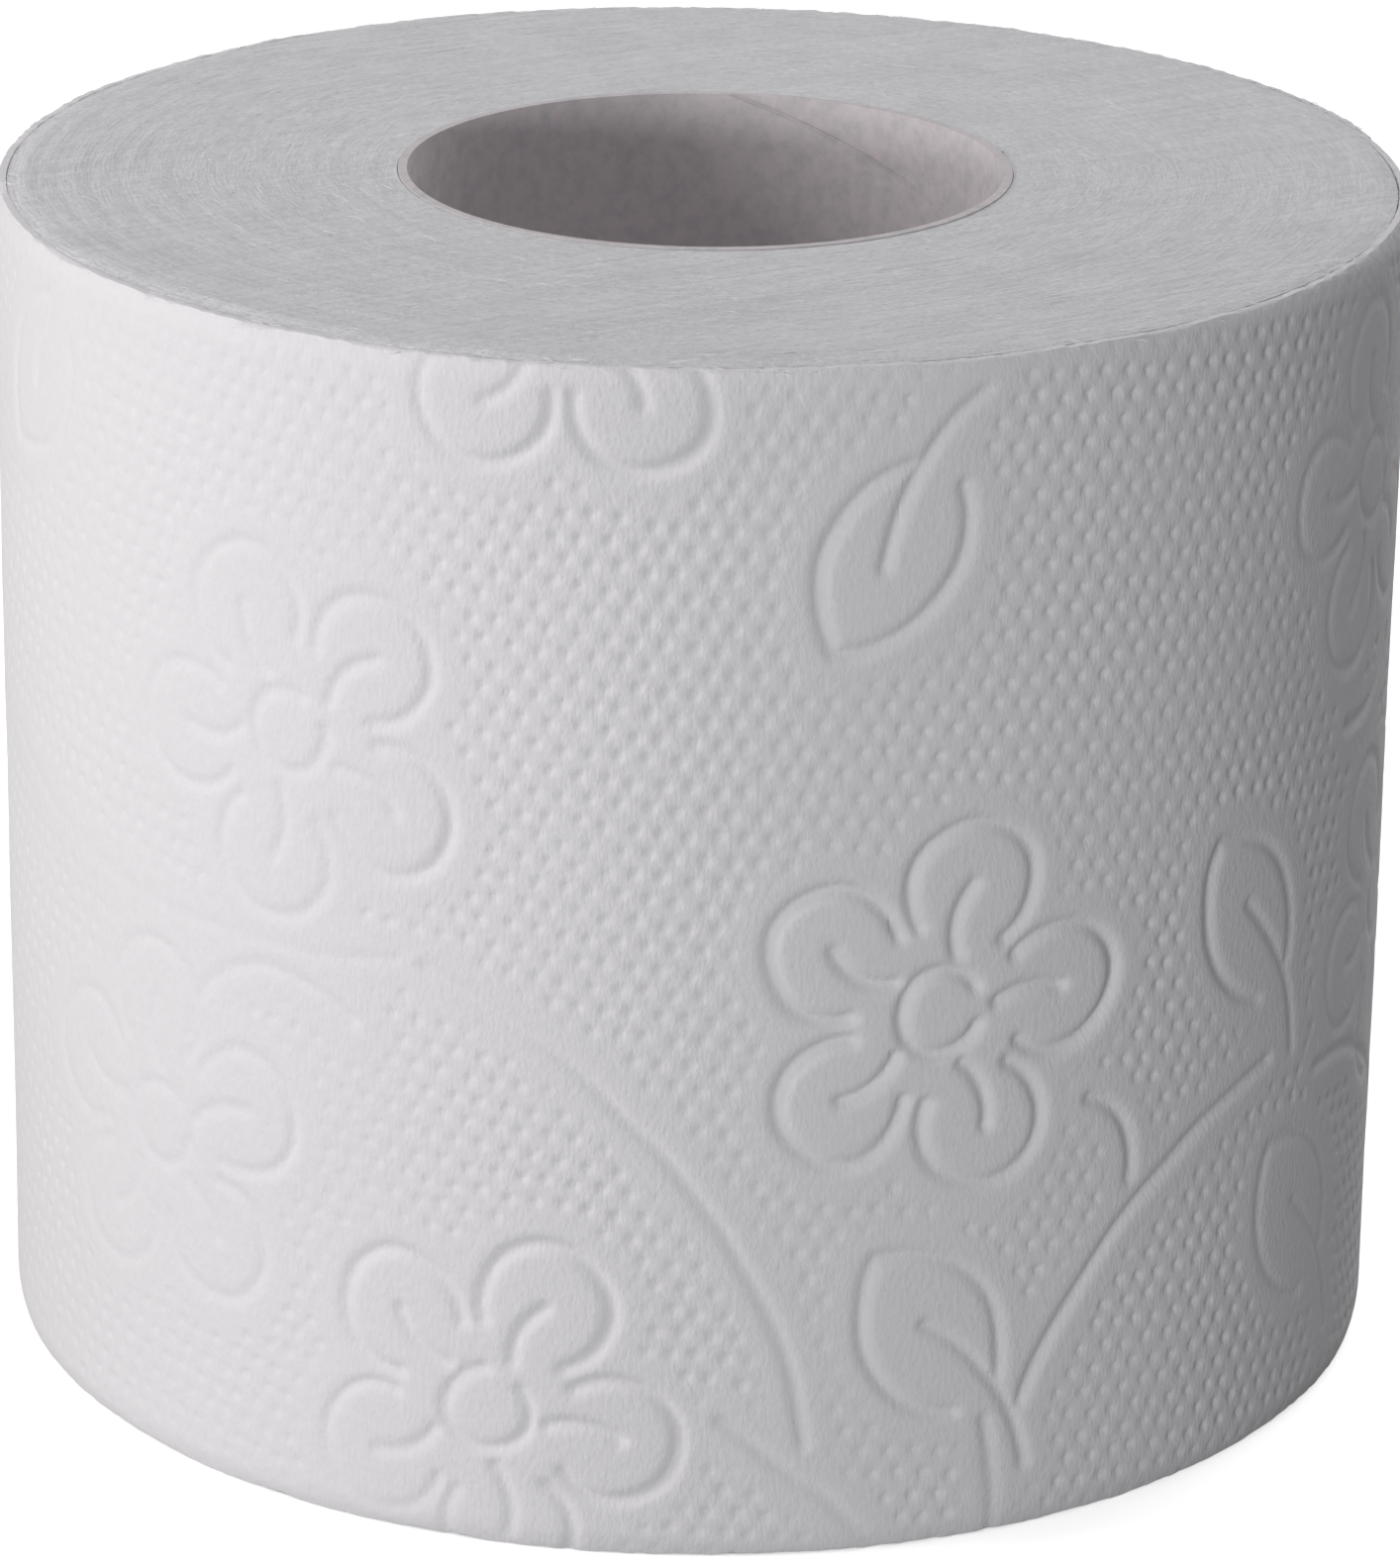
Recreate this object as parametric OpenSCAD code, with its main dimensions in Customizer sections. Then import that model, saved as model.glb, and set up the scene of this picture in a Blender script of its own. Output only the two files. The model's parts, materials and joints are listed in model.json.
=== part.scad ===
// Toilet paper roll: one long sheet wound on a spiral card core, standing on its end.
// Each turn is two half circles, whose centres lie a quarter of a turn's thickness to either
// side of the core's axis, so every turn runs on into the next and the last one ends in a step.
// The outer turn is embossed with a spray of flowers, leaves and stems.

/* [Roll] */
// Diameter over the wound sheet
roll_d = 110; // [96:1:130]
// Width of the sheet, which is the roll's height on its end
sheet_w = 92; // [80:1:110]
// Thickness of one turn, drawn thicker than soft tissue so that the turns show
turn_t = 0.8; // [0.6:0.05:1.2]
// Depth of the groove that parts two turns at the roll's ends
turn_groove_depth = 0.4; // [0.2:0.05:0.6]
// Direction in which the sheet's loose end lies, in degrees seen from above
tail_a = 15; // [0:5:45]

/* [Core] */
// Bore of the core
core_bore_d = 46; // [36:0.5:50]
// Wall of the core
core_wall = 0.7; // [0.5:0.1:1.5]
// Rise of the spiral seam in one turn of the core
seam_lead = 50; // [40:1:90]
// Width of the seam between the inner ply's edges
seam_w = 0.8; // [0.5:0.1:1.5]
// Depth of the seam
seam_depth = 0.25; // [0.1:0.05:0.35]

/* [Embossing] */
// Width of a pressed line
line_w = 1.2; // [0.8:0.1:1.6]
// Depth of a pressed line
line_depth = 0.35; // [0.2:0.05:0.5]
// Radius of a petal's outline
petal_r = 4.9; // [4:0.1:5.2]
// Distance from a flower's middle to a petal's middle
petal_reach = 9.7; // [9:0.1:11]
// Radius of the ring in a flower's middle
eye_r = 3.2; // [2.5:0.1:3.6]
// Length of a leaf
leaf_l = 15; // [12:0.5:18]
// Width of a leaf
leaf_w = 10; // [8:0.5:12]

/* [Hidden] */

paper_color = "#F1EEEC";
card_color = "#B9AAA0";

// How far a cutter runs past the face that it cuts
overrun = 1;

roll_r = roll_d / 2;
core_r = core_bore_d / 2 + core_wall;
turn_shift = turn_t / 4;
turns = floor((roll_r - core_r) / turn_t) - 2;

// Half the opening of a turn groove, and the land left where two half turns meet
groove_open_share = 0.2;
groove_land_a = 0.1;

// Direction of the seam at the top of the core, and the steps that draw one turn of it
seam_top_a = 85;
seam_steps = 36;

// The spray is drawn on half the roll's girth and repeated on the other half
sprays = 2;
spray_a = 360 / sprays;
spray_l = PI * roll_d / sprays;
front_a = -90;

// A flower's petals and its eye are open rings
petals = 5;
petal_open_a = 92;
petal_vein_l_share = 1.1;
petal_vein_rise_share = 0.15;
eye_open_a = 60;

// A leaf's two sides part from the tip, and its vein runs out between them as the stalk
leaf_open_a = 8.8;
leaf_rise = leaf_w / 2 - leaf_l / 2 * sin(leaf_open_a);
leaf_vein_rise_share = 0.11;
leaf_vein_place_share = 0.47;

// Flowers: shares of the spray's length and of the sheet's width, and the first petal's direction
flower_shares = [
    [-0.182, 0.669, 44],
    [0.107, 0.462, 4],
    [-0.088, 0.119, 63],
    [-0.262, 0.297, 20],
    [-0.057, 1.054, 18],
    [0.385, 0.8, 30],
    [0.432, 0.405, 52],
];

// Leaves: the middle as above, and the direction in which the stalk leaves
leaf_shares = [
    [0.079, 0.839, 60],
    [0.104, 0.191, -56],
    [0.276, 0.484, -62],
    [0.322, 0.195, -60],
    [-0.362, 0.885, 50],
    [0.5, 0.62, 115],
];

// Stems: start, end, and the rise of the arc as a share of its chord
stem_shares = [
    [-0.405, 0.56, -0.13, 0.499, -0.07],
    [-0.116, 0.494, 0.05, 0.1, 0.128],
    [0.014, 0.119, 0.083, 0, 0.03],
    [0.132, 0.1, 0.136, 0, 0.04],
    [0.149, 0.11, 0.294, 0.341, 0.13],
    [0.182, 0.368, 0.204, 0.287, 0.2],
    [-0.242, 0.385, -0.152, 0.435, 0.3],
    [0.34, 0.31, 0.46, 0.2, 0.12],
    [0.36, 0.6, 0.43, 0.64, -0.15],
];

function sag(half_l) = roll_r - sqrt(roll_r * roll_r - half_l * half_l);
function arc_r(chord, rise) = (chord * chord / 4 + rise * rise) / (2 * rise);

// Half of the wound outline, off the core's axis, running past the sheet at both ends
module half_disc(r, past) {
    translate([turn_shift, 0, -past])
        rotate_extrude(angle = 180, $fn = 180)
            square([r, sheet_w + 2 * past]);
}

// The whole wound outline, grown outwards or drawn in
module wound_disc(grow, past) {
    rotate([0, 0, tail_a]) {
        half_disc(roll_r - turn_shift + grow, past);
        rotate([0, 0, 180])
            half_disc(roll_r - turn_t + turn_shift + grow, past);
    }
}

// One cutter for all the grooves of a half turn, with a tooth between each two turns
module groove_comb(first_r) {
    lift = turn_groove_depth;
    tooth = 2 * turn_t * groove_open_share;
    last_r = first_r - turns * turn_t - turn_t / 2;
    rotate_extrude(angle = 180 - 2 * groove_land_a, start = groove_land_a, $fn = 180)
        polygon(concat(
            [[first_r, lift + overrun], [last_r, lift + overrun], [last_r, lift]],
            [for (k = [turns : -1 : 1])
                let (r = first_r - k * turn_t)
                each [[r - tooth, lift], [r, -turn_groove_depth], [r + tooth, lift]]],
            [[first_r, lift]]));
}

module turn_grooves() {
    rotate([0, 0, tail_a])
        for (half = [0, 1])
            rotate([0, 0, 180 * half])
                translate([turn_shift, 0, 0])
                    groove_comb(roll_r - turn_shift - turn_t / 2 * half);
}

// A place on the roll: x runs along the sheet, y up, z out of the paper
module on_roll(along_share, up_share, turn_a) {
    rotate([0, 0, front_a + spray_a * along_share])
        translate([roll_r, 0, sheet_w * up_share])
            rotate([90, 0, 90])
                rotate([0, 0, turn_a])
                    children();
}

// Cutters for pressed lines, which reach down as far as the roll curves away
module line_ring(r, open_a, reach) {
    translate([0, 0, -reach])
        rotate([0, 0, open_a / 2])
            rotate_extrude(angle = 360 - open_a, $fn = 72)
                translate([r - line_w / 2, 0])
                    square([line_w, reach + overrun]);
}

module line_arc(chord, rise, reach) {
    r = arc_r(chord, abs(rise));
    arc_a = 2 * asin(chord / (2 * r));
    mirror([0, rise < 0 ? 1 : 0, 0])
        translate([0, abs(rise) - r, 0])
            rotate([0, 0, -90])
                line_ring(r, 360 - arc_a, reach);
}

module flower() {
    reach = sag(petal_reach + petal_r + line_w) + line_depth + overrun;
    line_ring(eye_r, eye_open_a, reach);
    for (k = [0 : petals - 1])
        rotate([0, 0, 360 / petals * k])
            translate([petal_reach, 0, 0]) {
                rotate([0, 0, 180])
                    line_ring(petal_r, petal_open_a, reach);
                translate([-petal_r / 2, 0, 0])
                    line_arc(petal_r * petal_vein_l_share, petal_r * petal_vein_rise_share, reach);
            }
}

module leaf() {
    reach = sag(leaf_l) + line_depth + overrun;
    for (side = [1, -1])
        translate([-leaf_l / 2, 0, 0])
            rotate([0, 0, side * leaf_open_a])
                translate([leaf_l / 2, 0, 0])
                    line_arc(leaf_l, side * leaf_rise, reach);
    translate([leaf_l * leaf_vein_place_share, 0, 0])
        line_arc(leaf_l, leaf_l * leaf_vein_rise_share, reach);
}

module stem(ends) {
    run = (ends[2] - ends[0]) * spray_l;
    climb = (ends[3] - ends[1]) * sheet_w;
    chord = norm([run, climb]);
    on_roll((ends[0] + ends[2]) / 2, (ends[1] + ends[3]) / 2, atan2(climb, run))
        line_arc(chord, chord * ends[4], sag(chord / 2) + line_depth + overrun);
}

module spray_lines() {
    for (copy = [0 : sprays - 1])
        rotate([0, 0, spray_a * copy]) {
            for (place = flower_shares) on_roll(place[0], place[1], place[2]) flower();
            for (place = leaf_shares) on_roll(place[0], place[1], place[2]) leaf();
            for (ends = stem_shares) stem(ends);
        }
}

// The seam is a shallow channel that climbs the bore as one swept square
module seam_channel() {
    first = floor((-overrun - seam_w - sheet_w) / seam_lead * seam_steps);
    last = ceil((overrun + seam_w) / seam_lead * seam_steps);
    bore_r = core_bore_d / 2;
    rings = last - first + 1;
    points = [for (k = [first : last])
        let (a = seam_top_a + k * 360 / seam_steps, z = sheet_w + k * seam_lead / seam_steps)
        each [for (corner = [[-overrun, 0], [seam_depth, 0], [seam_depth, seam_w], [-overrun, seam_w]])
            [(bore_r + corner[0]) * cos(a), (bore_r + corner[0]) * sin(a), z + corner[1]]]];
    sides = [for (k = [0 : rings - 2], j = [0 : 3])
        let (a = 4 * k + j, b = 4 * k + (j + 1) % 4)
        each [[a, b, a + 4], [b, b + 4, a + 4]]];
    polyhedron(points, concat([[3, 2, 1, 0]], [[for (j = [0 : 3]) 4 * rings - 4 + j]], sides));
}

module paper_roll() {
    color(paper_color)
        difference() {
            wound_disc(0, 0);
            translate([0, 0, -overrun])
                cylinder(r = core_r, h = sheet_w + 2 * overrun, $fn = 180);
            translate([0, 0, sheet_w]) turn_grooves();
            mirror([0, 0, 1]) turn_grooves();
            intersection() {
                difference() {
                    wound_disc(overrun / 2, overrun);
                    wound_disc(-line_depth, 2 * overrun);
                }
                spray_lines();
            }
        }
}

module core_tube() {
    color(card_color)
        difference() {
            cylinder(r = core_r, h = sheet_w, $fn = 180);
            translate([0, 0, -overrun])
                cylinder(d = core_bore_d, h = sheet_w + 2 * overrun, $fn = 180);
            seam_channel();
        }
}

paper_roll();
core_tube();
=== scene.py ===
import json
import math
from functools import partial

import bpy
import numpy as np
from mathutils import Matrix, Vector


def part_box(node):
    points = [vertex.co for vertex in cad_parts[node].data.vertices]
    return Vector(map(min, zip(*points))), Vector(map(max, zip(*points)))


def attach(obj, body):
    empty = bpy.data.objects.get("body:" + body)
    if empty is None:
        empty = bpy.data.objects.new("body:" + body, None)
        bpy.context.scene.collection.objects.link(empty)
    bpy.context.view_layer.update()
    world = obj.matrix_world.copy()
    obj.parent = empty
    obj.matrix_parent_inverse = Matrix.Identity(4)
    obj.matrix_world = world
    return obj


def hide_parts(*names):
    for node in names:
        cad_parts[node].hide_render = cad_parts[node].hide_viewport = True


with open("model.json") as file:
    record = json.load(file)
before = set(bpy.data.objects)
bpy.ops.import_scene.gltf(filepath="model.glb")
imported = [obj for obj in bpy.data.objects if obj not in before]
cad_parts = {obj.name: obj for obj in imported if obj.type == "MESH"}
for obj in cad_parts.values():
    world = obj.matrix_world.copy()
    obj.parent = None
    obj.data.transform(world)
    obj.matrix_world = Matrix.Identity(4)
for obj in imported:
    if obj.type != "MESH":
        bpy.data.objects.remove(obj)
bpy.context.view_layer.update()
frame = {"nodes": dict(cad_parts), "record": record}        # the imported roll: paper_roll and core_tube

mm = 0.001
onLine = 1e-6            # points this close to a line or a level lie on it
farAway = 1.0            # longer than any distance on the roll
noiseSize = 512          # random values each way, after which a noise repeats


def startPiece():
    if bpy.context.object and bpy.context.object.mode != "OBJECT":
        bpy.ops.object.mode_set(mode="OBJECT")
    bpy.ops.object.select_all(action="DESELECT")


def namePiece(name):
    piece = bpy.context.object
    piece.name = name
    piece.data.name = name
    return piece


def applyPlace():
    bpy.ops.object.transform_apply(location=True, rotation=True, scale=True)


def getPoints(piece):
    points = np.zeros(len(piece.data.vertices) * 3)
    piece.data.vertices.foreach_get("co", points)
    return points.reshape(-1, 3)


def setPoints(piece, points):
    piece.data.vertices.foreach_set("co", points.astype(np.float32).ravel())
    piece.data.update()


def selectPoints(piece, chosen):
    # leaves the piece in edit mode with only the chosen points selected
    bpy.ops.object.mode_set(mode="EDIT")
    bpy.ops.mesh.select_mode(type="VERT")
    bpy.ops.mesh.select_all(action="DESELECT")
    bpy.ops.object.mode_set(mode="OBJECT")
    piece.data.vertices.foreach_set("select", chosen)
    bpy.ops.object.mode_set(mode="EDIT")
    bpy.ops.mesh.select_mode(type="VERT")


def faceOutwards():
    # turns every face of the piece in edit mode outwards, and leaves edit mode
    bpy.ops.mesh.select_all(action="SELECT")
    bpy.ops.mesh.normals_make_consistent(inside=False)
    bpy.ops.object.mode_set(mode="OBJECT")


def applyModifier(piece, kind, **settings):
    modifier = piece.modifiers.new(kind.lower(), kind)
    for key, value in settings.items():
        setattr(modifier, key, value)
    bpy.ops.object.modifier_apply(modifier=modifier.name)


def between(ends, share):
    return ends[0] + (ends[1] - ends[0]) * share


def smoothStep(low, high, x):
    t = np.clip((x - low) / (high - low), 0, 1)
    return t * t * (3 - 2 * t)


def softNoise(x, y, cell, seed, wrap=None):
    # smooth random hills about one cell apart, between -1 and 1, that close after wrap along x
    table = np.random.default_rng(seed).uniform(-1, 1, (noiseSize, noiseSize))
    u, v = x / cell, y / cell
    period = noiseSize if wrap is None else max(1, round(wrap / cell))
    u = u if wrap is None else u * period * cell / wrap
    i, j = np.floor(u).astype(int), np.floor(v).astype(int)
    fu, fv = smoothStep(0, 1, u - i), smoothStep(0, 1, v - j)
    i0, i1 = i % period, (i + 1) % period
    j0, j1 = j % noiseSize, (j + 1) % noiseSize
    low = table[i0, j0] * (1 - fu) + table[i1, j0] * fu
    high = table[i0, j1] * (1 - fu) + table[i1, j1] * fu
    return low * (1 - fv) + high * fv


def bittenShare(noise, swing):
    # noise about a half, cut off at 0 and 1
    return np.clip(0.5 + swing * noise, 0, 1)


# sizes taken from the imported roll
paperPoints = getPoints(frame["nodes"]["paper_roll"])
rollRadius = np.hypot(paperPoints[:, 0], paperPoints[:, 1]).max()
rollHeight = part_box("paper_roll")[1].z
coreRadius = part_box("core_tube")[1].x
boreRadius = frame["record"]["mounts"][0]["dims"]["r_mm"] * mm
girth = 2 * math.pi * rollRadius
print(f"roll radius {rollRadius / mm:.2f} mm, height {rollHeight / mm:.2f} mm, core {coreRadius / mm:.2f} mm")

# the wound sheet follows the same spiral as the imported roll
winding = {
    "turnT": 0.8 * mm,
    "sheetT": 0.55 * mm,     # the outer turn by itself, which lies a little loose
    "tailDeg": 15,           # where the loose end lies, seen from above
    "meanShare": 0.7,        # a middle turn's length as a share of the girth
}


def turnRadius(phiDeg):
    # two half circles per turn, so that the outside ends one turn lower than it starts
    quarter = winding["turnT"] / 4
    swing = quarter * np.cos(np.radians(phiDeg))
    first = rollRadius - quarter + swing
    second = rollRadius - 3 * quarter - swing
    return np.where(phiDeg < 180, first, second)


# handling has pressed the outer turns over a little at both ends
rim = {
    "wide": 2.2 * mm,        # how far in from an edge the fold starts
    "drop": 0.45 * mm,       # the upper edge comes down this far
    "lowDrop": 0.1 * mm,     # the lower edge, which the roll stands on, goes up this far
    "lean": 0.4 * mm,        # both edges go in this far
    "clear": 0.05 * mm,
}
outerLoss = winding["sheetT"] + rim["lean"] + rim["clear"]   # from the outside to the turn below


def rimFold(inwards):
    return np.clip(1 - inwards / rim["wide"], 0, 1) ** 2


# embossed spray, drawn on half the girth and repeated on the other half
spray = {
    "copies": 2,
    "frontDeg": -90,         # the drawing's middle, seen from above
    # flowers and leaves: middle as shares of half the girth and of the sheet's width, degrees, pressure
    "flowers": [
        (-0.182, 0.669, 44, 1),
        (0.107, 0.462, 4, 1),
        (-0.088, 0.119, 63, 1),
        (-0.262, 0.297, 20, 1),
        (-0.057, 1.054, 18, 1),
        (0.385, 0.8, 30, 0.5),
        (0.432, 0.405, 52, 0.6),
    ],
    "leaves": [
        (0.079, 0.839, 60, 1),
        (0.104, 0.191, -56, 1),
        (0.276, 0.484, -62, 0.8),
        (0.322, 0.195, -60, 0.6),
        (-0.362, 0.885, 50, 1),
        (0.5, 0.62, 115, 0.8),
    ],
    # stems: both ends as such shares, the rise of the arc as a share of its chord, pressure
    "stems": [
        (-0.405, 0.56, -0.13, 0.499, -0.07, 0.4),
        (-0.116, 0.494, 0.05, 0.1, 0.128, 0.7),
        (0.014, 0.119, 0.083, 0, 0.03, 0.8),
        (0.132, 0.1, 0.136, 0, 0.04, 0.8),
        (0.149, 0.11, 0.294, 0.341, 0.13, 1),
        (0.182, 0.368, 0.204, 0.287, 0.2, 0.9),
        (-0.242, 0.385, -0.152, 0.435, 0.3, 0.8),
        (0.34, 0.31, 0.46, 0.2, 0.12, 0.8),
        (0.36, 0.6, 0.43, 0.64, -0.15, 0.8),
    ],
    "reach": 30 * mm,        # no flower or leaf counts further from its middle than this
    "petals": 5,
    "petalRadius": 4.9 * mm,
    "petalReach": 9.7 * mm,
    "petalOpenDeg": 92,
    "petalVeinShares": (1.1, 0.15),  # length and rise, of the petal's radius
    "eyeRadius": 3.2 * mm,
    "eyeOpenDeg": 60,
    "leafLength": 15 * mm,
    "leafWidth": 10 * mm,
    "leafOpenDeg": 8.8,
    "leafVeinShares": (0.47, 0.11),  # place and rise, of the leaf's length
    "wander": 0.3 * mm,      # how far a line strays from its drawn path
    "wanderCell": 5 * mm,
    "wanderSeeds": (21, 22),
    # lines and dimples: their depth, the distance at which it falls to about a third, the least and most
    # pressure round the roll, the cell and seed of its noise, and the share of it that is left at the
    # sheet's edges, with the distances over which it recovers
    "line": {"depth": 0.4 * mm, "half": 0.54 * mm, "press": (0.4, 1.45), "cell": 13 * mm, "seed": 23,
             "edgeShare": 0.55, "edgeReach": (0, 9 * mm)},
    "dot": {"depth": 0.3 * mm, "half": 0.35 * mm, "press": (0.6, 1.15), "cell": 9 * mm, "seed": 3,
            "edgeShare": 0.3, "edgeReach": (0.5 * mm, 3 * mm)},
    "pressDeg": -65,         # pressed hardest here and opposite, and least between
    "pressFall": 3,          # the power of the cosine that shapes that fall
    "pressMean": 0.85,
    "pressSwing": 0.3,
    "dotPitch": 2.05 * mm,
    "dotSlant": -18,         # rows of dimples climbed in one turn
    "dotStrayShare": 0.22,
    "dotStrayMix": ((12.9898, 78.233, 43758.5453), (39.3468, 11.135, 24634.6345)),
    "margin": 2.5 * mm,      # bare paper kept round the lines
    "fadeShares": (0.75, 1.25),      # of the margin, over which the dimples start
    "puff": 0.06 * mm,       # the bare paper stands a little proud of the dimpled field
    "puffShare": 2.2,        # of the margin, over which that ends
    "waveDepth": 0.1 * mm,
    "waveCell": 17 * mm,
    "waveSeed": 5,
}


def turned(x, y, deg):
    c, s = math.cos(math.radians(deg)), math.sin(math.radians(deg))
    return x * c + y * s, y * c - x * s


def arcRadius(chord, rise):
    return (chord * chord / 4 + rise * rise) / (2 * rise)


def arcDistance(x, y, radius, openDeg):
    # distance to a ring about the origin that is open for openDeg round the +x direction
    half = math.radians(openDeg / 2)
    away = np.abs(np.arctan2(y, x))
    endX, endY = radius * math.cos(half), radius * math.sin(half)
    onRing = np.abs(np.hypot(x, y) - radius)
    toEnds = np.hypot(x - endX, np.abs(y) - endY)
    return np.where(away >= half, onRing, toEnds)


def chordDistance(x, y, chord, rise):
    # distance to an arc over a chord along x, centred at the origin, that rises to +y, or to -y below 0
    side = 1 if rise > 0 else -1
    height = abs(rise)
    radius = arcRadius(chord, height)
    spread = 2 * math.degrees(math.asin(chord / (2 * radius)))
    ax, ay = turned(x, y * side - (height - radius), -90)
    return arcDistance(ax, ay, radius, 360 - spread)


# each motif gives the distance to its nearest line, and to its outline, which is negative inside
def flowerLines(x, y):
    radius = spray["petalRadius"]
    veinLength, veinRise = (share * radius for share in spray["petalVeinShares"])
    line = arcDistance(x, y, spray["eyeRadius"], spray["eyeOpenDeg"])
    field = np.hypot(x, y) - spray["eyeRadius"]
    for k in range(spray["petals"]):
        px, py = turned(x, y, 360 / spray["petals"] * k)
        px = px - spray["petalReach"]
        outline = arcDistance(-px, -py, radius, spray["petalOpenDeg"])
        vein = chordDistance(px + radius / 2, py, veinLength, veinRise)
        line = np.minimum(line, np.minimum(outline, vein))
        field = np.minimum(field, np.hypot(px, py) - radius)
    return line, field


def leafLines(x, y):
    length = spray["leafLength"]
    rise = spray["leafWidth"] / 2 - length / 2 * math.sin(math.radians(spray["leafOpenDeg"]))
    radius = arcRadius(length, rise)
    veinPlace, veinRise = (share * length for share in spray["leafVeinShares"])
    vein = chordDistance(x - veinPlace, y, length, veinRise)
    line = vein
    sides = []
    for side in (1, -1):
        sx, sy = turned(x + length / 2, y, side * spray["leafOpenDeg"])
        sx = sx - length / 2
        line = np.minimum(line, chordDistance(sx, sy, length, side * rise))
        sides.append(np.hypot(sx, sy - side * (rise - radius)) - radius)
    field = np.minimum(vein, np.maximum(sides[0], sides[1]))
    return line, field


def stemLines(chord, rise, x, y):
    line = chordDistance(x, y, chord, rise)
    return line, line


def sprayMotifs():
    # middle, direction, pressure, reach and drawing function of every motif in one copy
    motifs = []
    for drawn, rows in ((flowerLines, spray["flowers"]), (leafLines, spray["leaves"])):
        motifs += [(along, up, deg, press, spray["reach"], drawn) for along, up, deg, press in rows]
    halfGirth = girth / spray["copies"]
    for x0, y0, x1, y1, riseShare, press in spray["stems"]:
        run, climb = (x1 - x0) * halfGirth, (y1 - y0) * rollHeight
        chord = math.hypot(run, climb)
        deg = math.degrees(math.atan2(climb, run))
        drawn = partial(stemLines, chord, chord * riseShare)
        motifs.append(((x0 + x1) / 2, (y0 + y1) / 2, deg, press, chord / 2 + spray["reach"], drawn))
    return motifs


def sprayMap(phiDeg, z):
    # nearest pressed line and the distance to the edge of the motifs, for places on the sheet
    line = np.full(phiDeg.shape, farAway)
    field = np.full(phiDeg.shape, farAway)
    around = np.radians(phiDeg) * rollRadius
    wanderX, wanderY = (spray["wander"] * softNoise(around, z, spray["wanderCell"], seed, girth)
                        for seed in spray["wanderSeeds"])
    for copy in range(spray["copies"]):
        for along, up, deg, press, reach, drawn in sprayMotifs():
            centreDeg = spray["frontDeg"] + 360 / spray["copies"] * (along + copy) - winding["tailDeg"]
            dx = np.radians((phiDeg - centreDeg + 180) % 360 - 180) * rollRadius + wanderX
            dy = z - up * rollHeight + wanderY
            close = (np.abs(dx) < reach) & (np.abs(dy) < reach)
            newLine, newField = drawn(*turned(dx[close], dy[close], deg))
            # a line that is pressed less counts as further away
            newLine = np.sqrt(newLine ** 2 - spray["line"]["half"] ** 2 * math.log(press))
            line[close] = np.minimum(line[close], newLine)
            field[close] = np.minimum(field[close], newField)
    return line, field


def dotStray(column, row, mix):
    # the same stray for the same dimple, between -0.5 and 0.5
    columnMix, rowMix, spread = mix
    return (np.sin(column * columnMix + row * rowMix) * spread) % 1 - 0.5


def dotMap(phiDeg, z):
    # distance to the nearest dimple of a slanted three-way lattice that closes round the roll
    count = round(girth / spray["dotPitch"])
    pitch = girth / count
    rowStep = pitch * math.sqrt(3) / 2
    stray = spray["dotStrayShare"] * pitch
    mixX, mixY = spray["dotStrayMix"]
    along = np.radians(phiDeg) * rollRadius
    climb = along / girth * spray["dotSlant"] * rowStep
    nearRow = np.floor((z - climb) / rowStep)
    best = np.full(phiDeg.shape, farAway)
    for step in (-1, 0, 1, 2):
        row = nearRow + step
        shift = (row % 2) * pitch / 2
        column = np.round((along - shift) / pitch)
        dotX = column * pitch + shift
        dotY = row * rowStep + dotX / girth * spray["dotSlant"] * rowStep
        strayX = stray * dotStray(column % count, row, mixX)
        strayY = stray * dotStray(column % count, row, mixY)
        best = np.minimum(best, np.hypot(along - dotX - strayX, z - dotY - strayY))
    return best


def markDepth(mark, distance, phiDeg, z):
    # the rollers press less here and there, along the sheet's edges and on two sides of the roll
    along = np.radians(phiDeg) * rollRadius
    noise = softNoise(along, z, mark["cell"], mark["seed"], girth)
    uneven = spray["pressMean"] + spray["pressSwing"] * noise
    inwards = np.minimum(z, rollHeight - z)
    edge = between((mark["edgeShare"], 1), smoothStep(*mark["edgeReach"], inwards))
    awayDeg = phiDeg + winding["tailDeg"] - spray["pressDeg"]
    hard = np.abs(np.cos(np.radians(awayDeg))) ** spray["pressFall"]
    press = uneven * edge * between(mark["press"], hard)
    return mark["depth"] * np.exp(-(distance / mark["half"]) ** 2) * press


def embossDepth(phiDeg, z):
    line, field = sprayMap(phiDeg, z)
    margin = spray["margin"]
    fadeStart, fadeEnd = (share * margin for share in spray["fadeShares"])
    lines = markDepth(spray["line"], line, phiDeg, z)
    dots = markDepth(spray["dot"], dotMap(phiDeg, z), phiDeg, z) * smoothStep(fadeStart, fadeEnd, field)
    puff = spray["puff"] * (1 - smoothStep(0, spray["puffShare"] * margin, field))
    along = np.radians(phiDeg) * rollRadius
    wave = spray["waveDepth"] * softNoise(along, z, spray["waveCell"], spray["waveSeed"], girth)
    return dots + lines - puff + wave


def rgb(hexText):
    # sRGB hex to a linear colour
    values = [int(hexText[i:i + 2], 16) / 255 for i in (1, 3, 5)]
    return tuple(v / 12.92 if v <= 0.04045 else ((v + 0.055) / 1.055) ** 2.4 for v in values) + (1,)


def addNode(owner, kind, links=(), **settings):
    # links are (socket of the new node, other node, its output); settings that start with in_ are inputs
    node = owner.node_tree.nodes.new(kind)
    for key, value in settings.items():
        if key.startswith("in_"):
            node.inputs[key[3:].replace("_", " ")].default_value = value
        else:
            setattr(node, key, value)
    for socket, other, output in links:
        owner.node_tree.links.new(other.outputs[output], node.inputs[socket])
    return node


def linkNodes(owner, source, output, target, socket):
    owner.node_tree.links.new(source.outputs[output], target.inputs[socket])


def newMaterial(name, roughness, specular):
    material = bpy.data.materials.new(name)
    material.use_nodes = True
    shader = material.node_tree.nodes["Principled BSDF"]
    shader.inputs["Roughness"].default_value = roughness
    shader.inputs["Specular IOR Level"].default_value = specular
    return material, shader


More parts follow.
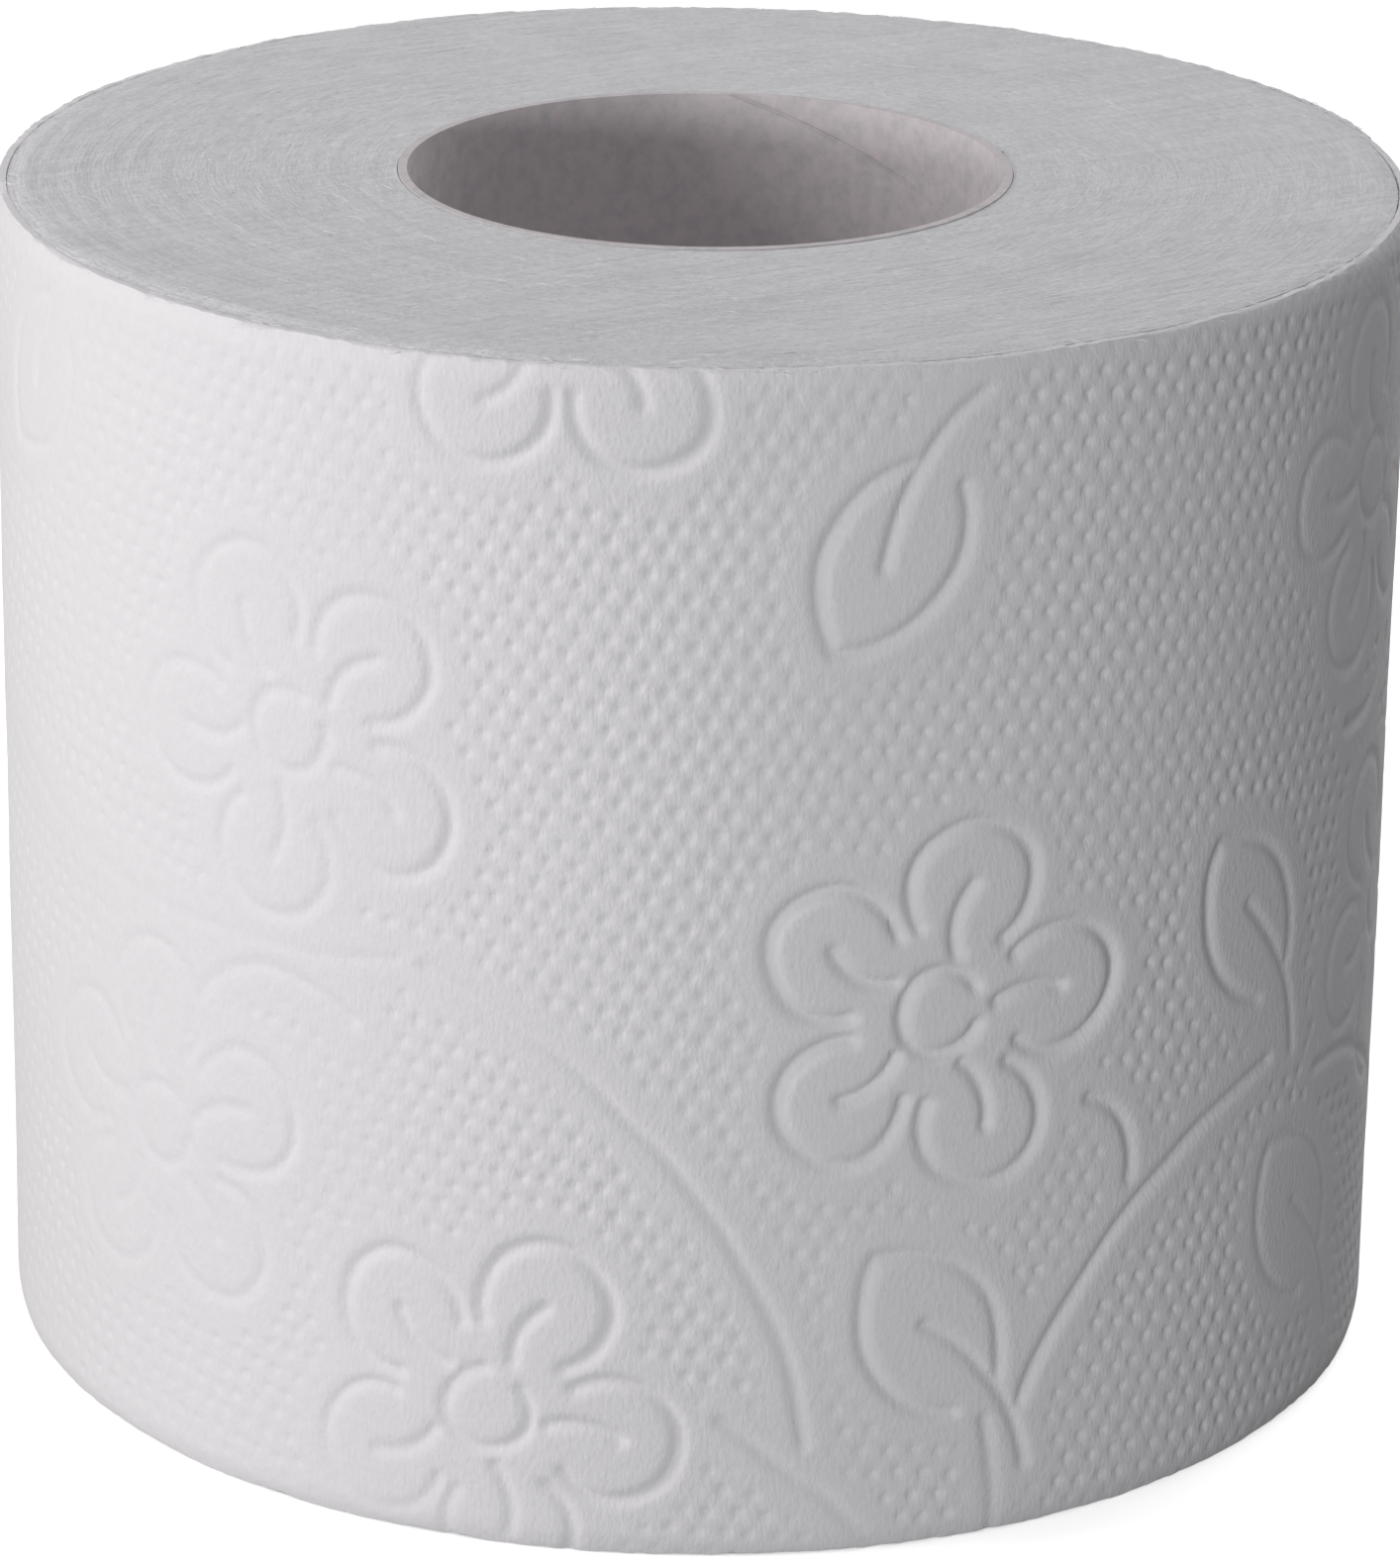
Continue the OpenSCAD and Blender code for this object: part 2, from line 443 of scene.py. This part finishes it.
# creped tissue: dry-creped fibre, so it is white, quite matt, and finely ribbed up and down the roll
# the ribs and fibres are drawn coarser than real ones, which are too fine to show
def tissueMaterial(sheetSize):
    look = {"white": "#f4f3f6", "shade": "#ebe9ed", "crepeMm": 0.38, "ribMm": 0.8, "fibreMm": 0.9}
    material, shader = newMaterial("creped_tissue", roughness=1.0, specular=0.12)
    shader.inputs["Sheen Weight"].default_value = 0.12
    shader.inputs["Sheen Roughness"].default_value = 0.6
    uv = addNode(material, "ShaderNodeUVMap", uv_map="UVMap")
    size = addNode(material, "ShaderNodeMapping", [("Vector", uv, "UV")],
                   in_Scale=(sheetSize[0] / mm, sheetSize[1] / mm, 1))
    ribs = addNode(material, "ShaderNodeMapping", [("Vector", size, "Vector")],
                   in_Scale=(1 / look["crepeMm"], 1 / look["ribMm"], 1))
    crepe = addNode(material, "ShaderNodeTexNoise", [("Vector", ribs, "Vector")],
                    in_Scale=1.0, in_Detail=1.0, in_Roughness=0.55)
    fibre = addNode(material, "ShaderNodeTexNoise", [("Vector", size, "Vector")],
                    in_Scale=1 / look["fibreMm"], in_Detail=3.0, in_Roughness=0.65)
    tint = addNode(material, "ShaderNodeMix", [("Factor", fibre, "Fac")],
                   data_type="RGBA", in_A=rgb(look["shade"]), in_B=rgb(look["white"]))
    linkNodes(material, tint, "Result", shader, "Base Color")
    soft = addNode(material, "ShaderNodeBump", [("Height", fibre, "Fac")],
                   in_Strength=0.25, in_Distance=0.12 * mm)
    ribbed = addNode(material, "ShaderNodeBump", [("Height", crepe, "Fac"), ("Normal", soft, "Normal")],
                     in_Strength=0.65, in_Distance=0.09 * mm)
    linkNodes(material, ribbed, "Normal", shader, "Normal")
    return material


# sawn tissue edges: thousands of torn fibres, so the end is greyer, felt-like and streaked by the saw
# the fibres are drawn coarser than real ones, which are too fine to show
def cutTissueMaterial():
    look = {"pale": "#f6f5f8", "dark": "#dedee2", "hairMm": (2.4, 0.24), "feltMm": 0.5, "cloudMm": 7.0,
            "sawMm": (30, 0.7), "sawDeg": 32}
    turnMm = girth * winding["meanShare"] / mm
    bothEndsMm = 2 * (rollRadius - coreRadius) / mm
    material, shader = newMaterial("sawn_tissue_edges", roughness=1.0, specular=0.08)
    uv = addNode(material, "ShaderNodeUVMap", uv_map="UVMap")
    place = addNode(material, "ShaderNodeTexCoord")
    unrolled = addNode(material, "ShaderNodeMapping", [("Vector", uv, "UV")],
                       in_Scale=(turnMm / look["hairMm"][0], bothEndsMm / look["hairMm"][1], 1))
    hair = addNode(material, "ShaderNodeTexNoise", [("Vector", unrolled, "Vector")],
                   in_Scale=1.0, in_Detail=2.0, in_Roughness=0.6)
    felt = addNode(material, "ShaderNodeTexNoise", [("Vector", place, "Object")],
                   in_Scale=1 / (look["feltMm"] * mm), in_Detail=3.0, in_Roughness=0.7)
    cloud = addNode(material, "ShaderNodeTexNoise", [("Vector", place, "Object")],
                    in_Scale=1 / (look["cloudMm"] * mm), in_Detail=3.0)
    lying = addNode(material, "ShaderNodeMapping", [("Vector", place, "Object")],
                    in_Rotation=(0, 0, math.radians(-look["sawDeg"])))
    sawn = addNode(material, "ShaderNodeMapping", [("Vector", lying, "Vector")],
                   in_Scale=(1 / (look["sawMm"][0] * mm), 1 / (look["sawMm"][1] * mm), 1))
    saw = addNode(material, "ShaderNodeTexNoise", [("Vector", sawn, "Vector")], in_Scale=1.0, in_Detail=2.0)
    fibres = addNode(material, "ShaderNodeMix", [("A", felt, "Fac"), ("B", hair, "Fac")],
                     data_type="FLOAT", in_Factor=0.5)
    rough = addNode(material, "ShaderNodeMix", [("A", fibres, "Result"), ("B", saw, "Fac")],
                    data_type="FLOAT", in_Factor=0.25)
    blend = addNode(material, "ShaderNodeMix", [("A", rough, "Result"), ("B", cloud, "Fac")],
                    data_type="FLOAT", in_Factor=0.15)
    spread = addNode(material, "ShaderNodeMapRange", [("Value", blend, "Result")],
                     in_From_Min=0.4, in_From_Max=0.6)
    tint = addNode(material, "ShaderNodeMix", [("Factor", spread, "Result")],
                   data_type="RGBA", in_A=rgb(look["dark"]), in_B=rgb(look["pale"]))
    linkNodes(material, tint, "Result", shader, "Base Color")
    bump = addNode(material, "ShaderNodeBump", [("Height", rough, "Result")],
                   in_Strength=0.85, in_Distance=0.4 * mm)
    linkNodes(material, bump, "Normal", shader, "Normal")
    return material


# loose tissue fibre: bare white cellulose, soft and matt
def fibreMaterial():
    material, shader = newMaterial("loose_tissue_fibre", roughness=1.0, specular=0.1)
    shader.inputs["Base Color"].default_value = rgb("#f4f3f5")
    return material


# core board: recycled grey card, slightly pink, dull, with short fibres
def cardMaterial():
    look = {"pale": "#e2dbde", "dark": "#d0ced1", "fibreMm": 1.4}
    material, shader = newMaterial("recycled_core_board", roughness=0.92, specular=0.2)
    place = addNode(material, "ShaderNodeTexCoord")
    fibre = addNode(material, "ShaderNodeTexNoise", [("Vector", place, "Object")],
                    in_Scale=1 / (look["fibreMm"] * mm), in_Detail=6.0, in_Roughness=0.7)
    spread = addNode(material, "ShaderNodeMapRange", [("Value", fibre, "Fac")],
                     in_From_Min=0.36, in_From_Max=0.58)
    tint = addNode(material, "ShaderNodeMix", [("Factor", spread, "Result")],
                   data_type="RGBA", in_A=rgb(look["dark"]), in_B=rgb(look["pale"]))
    linkNodes(material, tint, "Result", shader, "Base Color")
    grain = addNode(material, "ShaderNodeBump", [("Height", fibre, "Fac")],
                    in_Strength=0.4, in_Distance=0.1 * mm)
    linkNodes(material, grain, "Normal", shader, "Normal")
    return material


# outer turn: four flat sheets, embossed, then bent round the roll end to end
outerTurn = {
    "sheets": 4,
    "columns": 302,
    "rows": 304,
    "ragged": 0.12 * mm,     # how far the two cut edges are bitten in
    "raggedCells": (0.9 * mm, 5 * mm),
    "raggedSeeds": (31, 32),
    "raggedSwing": 0.5,
    "torn": 0.26 * mm,       # how far the loose end is bitten in
    "tornNoises": ((1, 1.1 * mm, 41), (0.5, 0.4 * mm, 42)),   # share, cell and seed
    "tornSwing": 0.4,
    "tailPress": 0.3 * mm,   # the loose end lies pressed against the turn below it
    "tailDeg": 10,
    "smoothDeg": 55,
}
sheetDeg = 360 / outerTurn["sheets"]
sheetLength = girth / outerTurn["sheets"]
rowLength = outerTurn["columns"] + 1
tissue = tissueMaterial((sheetLength, rollHeight))


def tornEnd(x, z):
    # the loose end was torn off along its perforation
    noise = sum(share * softNoise(z, 0 * z, cell, seed) for share, cell, seed in outerTurn["tornNoises"])
    bitten = outerTurn["torn"] * bittenShare(noise, outerTurn["tornSwing"])
    return np.where(x < onLine - sheetLength / 2, bitten, 0)


def layFlat(piece, index):
    # folds the flat sheet's edges over, and returns how deep each point is to be pressed in
    points = getPoints(piece)
    if index == 0:
        points[:, 0] += tornEnd(points[:, 0], points[:, 2])
    z = points[:, 2].copy()
    phiDeg = sheetDeg * (index + 0.5 + points[:, 0] / sheetLength)
    spiralLoss = rollRadius - turnRadius(np.clip(phiDeg, 0, 360))
    fold = rimFold(np.minimum(z, rollHeight - z))
    drop = fold * rimFold(spiralLoss)
    points[:, 2] += np.where(z < rollHeight / 2, rim["lowDrop"] * drop, -rim["drop"] * drop)
    setPoints(piece, points)
    tail = outerTurn["tailPress"] * np.clip(1 - phiDeg / outerTurn["tailDeg"], 0, 1) ** 2
    return embossDepth(phiDeg, z) + spiralLoss + rim["lean"] * fold + tail


def pressIn(piece, depth):
    # the depth is a vertex weight, which a Displace modifier presses in
    low, high = depth.min(), depth.max()
    pressed = piece.vertex_groups.new(name="pressed")
    for i, weight in enumerate(((depth - low) / (high - low)).tolist()):
        pressed.add((i,), weight, "REPLACE")
    applyModifier(piece, "DISPLACE", vertex_group="pressed", strength=-(high - low), mid_level=0,
                  direction="NORMAL")
    piece.vertex_groups.clear()
    points = getPoints(piece)
    points[:, 1] += low
    setPoints(piece, points)


def sheetRow(piece, first):
    order = np.arange(len(piece.data.vertices))
    return (order >= first) & (order < first + rowLength)


def closeSheet(piece):
    # edges turned in to the sheet's thickness, and a plain inner face
    outer = len(piece.data.vertices)
    shrink = 1 - winding["sheetT"] / rollRadius
    lower, upper = 0, outer - rowLength
    for first in (lower, upper):
        selectPoints(piece, sheetRow(piece, first))
        bpy.ops.mesh.extrude_region_move()
        bpy.ops.transform.resize(value=(shrink, shrink, 1), center_override=(0, 0, 0))
        bpy.ops.object.mode_set(mode="OBJECT")
    selectPoints(piece, np.arange(len(piece.data.vertices)) >= outer)
    bpy.ops.mesh.bridge_edge_loops()
    bpy.ops.mesh.select_all(action="SELECT")
    bpy.ops.mesh.fill_holes(sides=0)
    faceOutwards()
    # both cut edges are a little ragged
    points = getPoints(piece)
    along = np.arctan2(points[:, 1], points[:, 0]) * rollRadius
    edges = ((lower, outer, 1), (upper, outer + rowLength, -1))
    for seed, (first, turnedIn, way) in zip(outerTurn["raggedSeeds"], edges):
        noise = sum(softNoise(along, 0 * along, cell, seed, girth) for cell in outerTurn["raggedCells"])
        bitten = outerTurn["ragged"] * bittenShare(noise, outerTurn["raggedSwing"])
        points[:, 2] += np.where(sheetRow(piece, first) | sheetRow(piece, turnedIn), way * bitten, 0)
    setPoints(piece, points)


def makeSheet(index):
    startPiece()
    bpy.ops.mesh.primitive_grid_add(x_subdivisions=outerTurn["columns"], y_subdivisions=outerTurn["rows"],
                                    size=1, calc_uvs=True, rotation=(math.pi / 2, 0, 0))
    piece = namePiece(f"outer_turn_{index + 1}")
    piece.scale = (sheetLength, rollHeight, 1)
    piece.location.z = rollHeight / 2
    applyPlace()
    depth = layFlat(piece, index)
    pressIn(piece, depth)
    applyModifier(piece, "SIMPLE_DEFORM", deform_method="BEND", deform_axis="Z", angle=math.radians(sheetDeg))
    piece.location.y = -rollRadius
    applyPlace()
    piece.rotation_euler.z = math.radians(winding["tailDeg"] + sheetDeg * (index + 0.5) + 90)
    applyPlace()
    closeSheet(piece)
    bpy.ops.object.shade_smooth_by_angle(angle=math.radians(outerTurn["smoothDeg"]))
    piece.data.materials.append(tissue)
    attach(piece, "root")
    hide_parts("paper_roll")
    faces, low, high = len(piece.data.polygons), depth.min() / mm, depth.max() / mm
    print(f"{piece.name}: {faces} faces, depth {low:.2f} to {high:.2f} mm")


for index in range(outerTurn["sheets"]):
    makeSheet(index)

# wound paper: every turn of the sheet below the outer one, with its edges showing at both ends
woundPaper = {
    "columns": 480,
    "levelStep": 0.4 * mm,   # two levels a turn: the paper's edge and the gap beside it
    "clearCore": 0.05 * mm,
    "leastWall": 0.1 * mm,   # paper left inside the last level
    "holeDip": 0.1 * mm,     # how far the hole's edge lies inside the end
    "edgeUneven": 0.14 * mm,
    "edgeSwing": 0.3,
    "edgeNoise": (5 * mm, 11),       # cell and seed, along the sheet's edge
    "turnNoise": (2 * mm, 12),       # cell and seed, from turn to turn
    "turnStep": 3.1 * mm,
    "turnShare": 0.8,
    "gapDepth": 0.1 * mm,
    "gapMean": 0.55,
    "gapSwing": 0.45,
    "gapNoise": (11 * mm, 13),
    "endsApart": 40 * mm,    # between the two ends' places in the noises
    "weld": 0.02 * mm,
    "smoothDeg": 60,
}


def makeWoundPaper():
    startPiece()
    cut = woundPaper
    innerRadius = coreRadius + cut["clearCore"]
    outerEnd = rollRadius - winding["turnT"] - outerLoss
    levels = int((outerEnd - innerRadius - cut["leastWall"]) / cut["levelStep"])
    faceRows = levels + 2            # the levels and the wall of the core's hole
    rows = 2 * faceRows              # the lower end outwards, then the upper end inwards, then closed
    bpy.ops.mesh.primitive_grid_add(x_subdivisions=cut["columns"], y_subdivisions=rows, size=2)
    piece = namePiece("wound_paper")
    points = getPoints(piece)
    column = np.rint((points[:, 0] + 1) / 2 * cut["columns"]).astype(int)
    row = np.rint((points[:, 1] + 1) / 2 * rows).astype(int) % rows
    phiDeg = 360 * column / cut["columns"]
    upper = row >= faceRows
    level = np.where(upper, row - faceRows, faceRows - 1 - row)
    atHole = level > levels
    spiral = turnRadius(phiDeg) - outerLoss - level * cut["levelStep"]
    radius = np.where(atHole, innerRadius, spiral)
    # how far along the whole wound sheet this edge lies, so that its ups and downs run on
    turn = (level + 1) // 2 + phiDeg / 360
    along = turn * girth * winding["meanShare"]
    side = np.where(upper, cut["endsApart"], 0)
    uneven = softNoise(along, side, *cut["edgeNoise"])
    uneven = uneven + cut["turnShare"] * softNoise(turn * cut["turnStep"], side, *cut["turnNoise"])
    gap = cut["gapDepth"] * (cut["gapMean"] + cut["gapSwing"] * softNoise(along, side, *cut["gapNoise"]))
    sink = cut["edgeUneven"] * (0.5 + cut["edgeSwing"] * uneven) + np.where(level % 2 == 1, gap, 0)
    sink = sink + np.where(upper, rim["drop"], rim["lowDrop"]) * rimFold(rollRadius - outerLoss - radius)
    sink = np.where(atHole, cut["holeDip"], sink)
    angle = np.radians(phiDeg + winding["tailDeg"])
    height = np.where(upper, rollHeight - sink, sink)
    setPoints(piece, np.stack([radius * np.cos(angle), radius * np.sin(angle), height], axis=1))
    bpy.ops.object.mode_set(mode="EDIT")
    bpy.ops.mesh.select_all(action="SELECT")
    bpy.ops.mesh.remove_doubles(threshold=cut["weld"])
    bpy.ops.mesh.fill_holes(sides=0)
    faceOutwards()
    bpy.ops.object.shade_smooth_by_angle(angle=math.radians(cut["smoothDeg"]))
    piece.data.materials.append(cutTissueMaterial())
    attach(piece, "root")
    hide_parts("paper_roll")
    print(f"{piece.name}: {levels} levels, {len(piece.data.polygons)} faces")


makeWoundPaper()

# loose fibres on the upper sawn end, most of them along its edge, where they blur the rim
looseFibres = {
    "seed": 7,
    "atRim": 800,
    "onEnd": 500,
    "bends": 3,
    "thick": 0.026 * mm,
    "length": (0.5 * mm, 1.6 * mm),
    "lift": (0.02 * mm, 0.2 * mm),
    "root": 0.12 * mm,       # how deep a fibre starts
    "archShare": 0.8,        # of half a wave, from a fibre's root to its tip
    "spreadDeg": 20,
    "curl": 0.35,
    "clearCore": 0.5 * mm,
}


def fibreStrips(count):
    # every second strip of a grid is a fibre, and the strips between them go
    bends, lastRow = looseFibres["bends"], 2 * count - 1
    bpy.ops.mesh.primitive_grid_add(x_subdivisions=bends, y_subdivisions=lastRow, size=2)
    piece = namePiece("loose_fibres")
    points = getPoints(piece)
    step = np.rint((points[:, 0] + 1) / 2 * bends) / bends
    row = np.rint((points[:, 1] + 1) / 2 * lastRow).astype(int)
    corners = np.zeros(len(piece.data.polygons) * 4, dtype=int)
    piece.data.polygons.foreach_get("vertices", corners)
    spare = row[corners].reshape(-1, 4).min(axis=1) % 2 == 1
    bpy.ops.object.mode_set(mode="EDIT")
    bpy.ops.mesh.select_mode(type="FACE")
    bpy.ops.mesh.select_all(action="DESELECT")
    bpy.ops.object.mode_set(mode="OBJECT")
    piece.data.polygons.foreach_set("select", spare)
    bpy.ops.object.mode_set(mode="EDIT")
    bpy.ops.mesh.delete(type="FACE")
    bpy.ops.object.mode_set(mode="OBJECT")
    return piece, step, row // 2, row % 2


def makeFibres():
    startPiece()
    look = looseFibres
    count = look["atRim"] + look["onEnd"]
    piece, step, fibre, edge = fibreStrips(count)
    rng = np.random.default_rng(look["seed"])
    phiDeg = rng.uniform(0, 360, count)
    spiral = turnRadius(phiDeg)
    inner, outer = coreRadius + look["clearCore"], spiral - winding["sheetT"]
    rimRadius = spiral - rim["lean"] - rng.uniform(0, winding["sheetT"], count)
    endRadius = np.sqrt(rng.uniform(inner ** 2, outer ** 2))
    radius = np.where(np.arange(count) < look["atRim"], rimRadius, endRadius)
    angle = np.radians(phiDeg + winding["tailDeg"])
    length = rng.uniform(*look["length"], count)
    lift = rng.uniform(*look["lift"], count)
    drift = np.radians(rng.normal(0, look["spreadDeg"], count))
    drift = drift + np.where(rng.uniform(0, 1, count) < 0.5, 0, np.pi)   # half of them lie the other way
    curl = rng.normal(0, look["curl"], count)
    around = np.cos(drift)[fibre] * step + curl[fibre] * step * step
    outwards = np.sin(drift)[fibre] * step - curl[fibre] * step * step / 2
    newRadius = radius[fibre] + outwards * length[fibre] + (edge - 0.5) * look["thick"]
    newAngle = angle[fibre] + around * length[fibre] / radius[fibre]
    up = lift[fibre] * np.sin(math.pi * look["archShare"] * step) - look["root"]
    height = rollHeight + up - rim["drop"] * rimFold(rollRadius - outerLoss - newRadius)
    setPoints(piece, np.stack([newRadius * np.cos(newAngle), newRadius * np.sin(newAngle), height], axis=1))
    applyModifier(piece, "SOLIDIFY", thickness=look["thick"], offset=0)
    bpy.ops.object.mode_set(mode="EDIT")
    faceOutwards()
    piece.data.materials.append(fibreMaterial())
    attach(piece, "root")
    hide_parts("paper_roll")
    print(f"{piece.name}: {count} fibres, {len(piece.data.polygons)} faces")


makeFibres()

# core: a strip of board wound on a slant, so its inner edges meet in a climbing seam
core = {
    "lead": 50 * mm,
    "seamHalf": 0.22 * mm,
    "seamDepth": 0.25 * mm,
    "seamTopDeg": 85,
    "steps": 120,
    "turns": 5,
    "turnsBelow": 1.5,       # wound this far below the roll, then cut off
    "stripRows": 20,
    "weld": 0.01 * mm,
    "cutClose": 1e-7,
    "smoothDeg": 40,
}


def makeCore():
    startPiece()
    # one upright line of the strip's inner face, sunk at both ends where the strip's edges meet
    lead, last = core["lead"], core["stripRows"]
    bpy.ops.mesh.primitive_grid_add(x_subdivisions=1, y_subdivisions=last, size=1)
    piece = namePiece("core_board")
    selectPoints(piece, getPoints(piece)[:, 0] > 0)
    bpy.ops.mesh.delete(type="VERT")
    bpy.ops.object.mode_set(mode="OBJECT")
    step = np.rint((getPoints(piece)[:, 1] + 0.5) * last).astype(int)
    height = step / last * lead
    height = np.where(step == 1, core["seamHalf"], height)
    height = np.where(step == last - 1, lead - core["seamHalf"], height)
    sink = np.where((step == 0) | (step == last), core["seamDepth"], 0)
    setPoints(piece, np.stack([boreRadius + sink, 0 * height, height], axis=1))
    applyModifier(piece, "SCREW", axis="Z", angle=2 * math.pi, screw_offset=lead, steps=core["steps"],
                  render_steps=core["steps"], iterations=core["turns"])
    # the seam passes the angle of the line's foot at every full lead, so it is turned and sunk to its place
    below = core["turnsBelow"] * lead
    climbedDeg = (rollHeight + below) / lead * 360
    piece.rotation_euler.z = math.radians(core["seamTopDeg"] - climbedDeg)
    piece.location.z = -below
    applyPlace()
    bpy.ops.object.mode_set(mode="EDIT")
    bpy.ops.mesh.select_all(action="SELECT")
    bpy.ops.mesh.remove_doubles(threshold=core["weld"])
    for cutHeight, cleared in ((0, "clear_inner"), (rollHeight, "clear_outer")):
        bpy.ops.mesh.select_all(action="SELECT")
        bpy.ops.mesh.bisect(plane_co=(0, 0, cutHeight), plane_no=(0, 0, 1), threshold=core["cutClose"],
                            **{cleared: True})
    bpy.ops.object.mode_set(mode="OBJECT")
    # both ends are extruded out to the core's outside, and the outer wall joins them
    inner = len(piece.data.vertices)
    for endHeight in (0, rollHeight):
        points = getPoints(piece)
        atEnd = np.abs(points[:, 2] - endHeight) < onLine
        selectPoints(piece, atEnd & (np.arange(len(points)) < inner))
        bpy.ops.mesh.extrude_region_move()
        bpy.ops.object.mode_set(mode="OBJECT")
    points = getPoints(piece)
    radius = np.hypot(points[inner:, 0], points[inner:, 1])
    points[inner:, :2] *= (coreRadius / radius)[:, None]
    setPoints(piece, points)
    selectPoints(piece, np.arange(len(points)) >= inner)
    bpy.ops.mesh.bridge_edge_loops()
    faceOutwards()
    bpy.ops.object.shade_smooth_by_angle(angle=math.radians(core["smoothDeg"]))
    piece.data.materials.append(cardMaterial())
    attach(piece, "root")
    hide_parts("core_tube")
    print(f"{piece.name}: {len(piece.data.polygons)} faces")


makeCore()

# floor and world: white to the camera, with the roll's shadow kept on the floor
stageLook = {
    "floorSize": 6.0,
    "floorGlow": 0.66,
    "floorPale": "#f4f4f4",  # as the camera sees it
    "floorDark": "#7a7a7a",  # for the light that it throws back at the roll
    "ambient": 0.22,         # the white room's own light on the roll
}


def cameraMask(owner):
    # 1 for what the camera sees, itself or in a reflection or through glass, and 0 for light on the roll
    path = addNode(owner, "ShaderNodeLightPath")
    seen = addNode(owner, "ShaderNodeMath", [(0, path, "Is Camera Ray"), (1, path, "Is Glossy Ray")],
                   operation="MAXIMUM")
    return addNode(owner, "ShaderNodeMath", [(0, seen, "Value"), (1, path, "Is Transmission Ray")],
                   operation="MAXIMUM")


# white paper floor: fully matt, with a glow under the camera's mask that takes it to white
def floorMaterial():
    material, shader = newMaterial("white_paper_floor", roughness=1.0, specular=0.0)
    mask = cameraMask(material)
    tint = addNode(material, "ShaderNodeMix", [("Factor", mask, "Value")], data_type="RGBA",
                   in_A=rgb(stageLook["floorDark"]), in_B=rgb(stageLook["floorPale"]))
    linkNodes(material, tint, "Result", shader, "Base Color")
    # no glow inside the core, so the floor seen through it stays dark
    spot = addNode(material, "ShaderNodeTexCoord")
    away = addNode(material, "ShaderNodeVectorMath", [("Vector", spot, "Object")], operation="LENGTH")
    clear = addNode(material, "ShaderNodeMapRange", [("Value", away, "Value")],
                    in_From_Min=coreRadius, in_From_Max=rollRadius, in_To_Max=stageLook["floorGlow"])
    glow = addNode(material, "ShaderNodeMath", [(0, clear, "Result"), (1, mask, "Value")],
                   operation="MULTIPLY")
    white = addNode(material, "ShaderNodeEmission", [("Strength", glow, "Value")], in_Color=(1, 1, 1, 1))
    both = addNode(material, "ShaderNodeAddShader", [(0, shader, "BSDF"), (1, white, "Emission")])
    linkNodes(material, both, "Shader", material.node_tree.nodes["Material Output"], "Surface")
    return material


def makeStage():
    startPiece()
    bpy.ops.mesh.primitive_plane_add(size=stageLook["floorSize"])
    floor = namePiece("floor")
    floor.data.materials.append(floorMaterial())
    world = bpy.data.worlds.new("white_room")
    world.use_nodes = True
    bpy.context.scene.world = world
    level = addNode(world, "ShaderNodeMapRange", [("Value", cameraMask(world), "Value")],
                    in_To_Min=stageLook["ambient"], in_To_Max=1.0)
    background = world.node_tree.nodes["Background"]
    background.inputs["Color"].default_value = (1, 1, 1, 1)
    linkNodes(world, level, "Result", background, "Strength")
    print(f"{floor.name} and {world.name}")


makeStage()

# three soft lights: a low, near and slightly warm one on the left, one by the camera, and one behind
# that lights the upper end
lights = [
    {"name": "left_light", "deg": -166, "upDeg": 20, "distance": 0.45, "wide": 0.14, "high": 0.22,
     "power": 0.8, "tint": "#fffbf9"},
    {"name": "front_light", "deg": -110, "upDeg": 3, "distance": 1.2, "wide": 0.4, "high": 0.18,
     "power": 5.5, "tint": "#ffffff"},
    {"name": "back_light", "deg": 60, "upDeg": 42, "distance": 1.0, "wide": 0.5, "high": 0.5,
     "power": 4.05, "tint": "#ffffff"},
]


def makeLight(look):
    startPiece()
    around, up = math.radians(look["deg"]), math.radians(look["upDeg"])
    aim = Vector((0, 0, rollHeight / 2))
    way = Vector((math.cos(around) * math.cos(up), math.sin(around) * math.cos(up), math.sin(up)))
    bpy.ops.object.light_add(type="AREA", location=aim + look["distance"] * way)
    lamp = bpy.context.object
    lamp.name = look["name"]
    lamp.rotation_euler = way.to_track_quat("Z", "Y").to_euler()
    lamp.data.shape = "RECTANGLE"
    lamp.data.size = look["wide"]
    lamp.data.size_y = look["high"]
    lamp.data.energy = look["power"]
    lamp.data.color = rgb(look["tint"])[:3]


for look in lights:
    makeLight(look)
print(f"{len(lights)} lights")

# camera worked out from the photograph's ellipses
shot = {
    "place": (0.2 * mm, -518.89 * mm, 229.09 * mm),
    "pitchDeg": 70.116,
    "leanRad": 0.0128,       # the photograph leans a little to one side
    "lens": 159.19,
    "sensor": 36,
    "nearest": 0.01,
}
bpy.ops.object.camera_add()
camera = bpy.context.object
camera.name = "photo_camera"
camera.data.sensor_fit = "VERTICAL"
camera.data.sensor_height = shot["sensor"]
camera.data.lens = shot["lens"]
camera.data.clip_start = shot["nearest"]
pitch = Matrix.Rotation(math.radians(shot["pitchDeg"]), 4, "X")
lean = Matrix.Rotation(shot["leanRad"], 4, "Z")
camera.matrix_world = Matrix.Translation(shot["place"]) @ pitch @ lean
bpy.context.scene.camera = camera
bpy.context.scene.view_settings.view_transform = "Standard"
print(f"{camera.name} with a lens of {camera.data.lens:.1f} mm")
